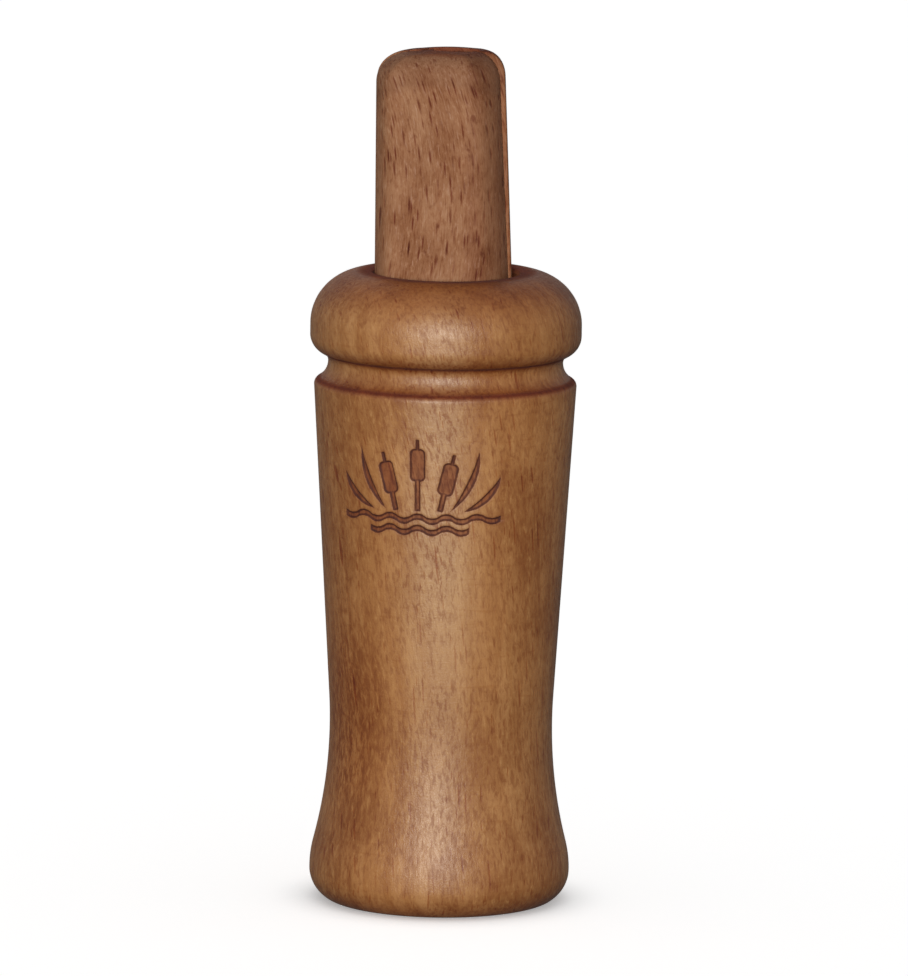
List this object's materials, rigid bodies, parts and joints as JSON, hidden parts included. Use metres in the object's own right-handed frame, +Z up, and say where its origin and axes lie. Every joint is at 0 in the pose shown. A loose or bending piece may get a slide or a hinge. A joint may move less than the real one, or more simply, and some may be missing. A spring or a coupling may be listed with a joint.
{
  "type": "duck call",
  "caption": "Turned wooden game call: a flared resonator barrel with a corded groove and bead, and a two-part reed mouthpiece plugged into its bore.",
  "frame": {"origin": "middle of the foot's resting ring, at the bottom of the barrel", "axes": "+Z up the bore towards the mouthpiece, -Y towards the ornament and the mouthpiece's front flat, +X to the right"},
  "size_m": [0.038, 0.038, 0.1203],
  "materials": {
    "barrel_beech": "satin varnish on turned beech",
    "mouthpiece_beech": "bare sanded beech",
    "reed": "matte polyester film",
    "cork": "cut cork",
    "ring_rubber": "matte rubber"
  },
  "bodies": {
    "barrel": {"barrel": "barrel_beech"},
    "seal_rings": {"lower_o_ring": "ring_rubber", "upper_o_ring": "ring_rubber"},
    "mouthpiece": {"front_cheek": "mouthpiece_beech", "tone_board": "mouthpiece_beech", "reed_tail": "reed", "cork_wedge": "cork"},
    "reed_tongue": {"reed_tongue": "reed"}
  },
  "joints": [
    {"name": "mouthpiece_pull", "type": "slide", "parent": "barrel", "child": "seal_rings", "axis": [0, 0, 1], "range_m": [0, 0.03]},
    {"name": "mouthpiece_turn", "type": "hinge", "parent": "seal_rings", "child": "mouthpiece", "pos_m": [0, 0, 0.0725], "axis": [0, 0, 1], "continuous": true},
    {"name": "reed_bend", "type": "hinge", "parent": "mouthpiece", "child": "reed_tongue", "pos_m": [0.00001, -0.00017, 0.075], "axis": [-0.9986, -0.0523, 0], "range_deg": [-0.8, 1.8], "stiffness_Nm_per_rad": 0.016}
  ]
}
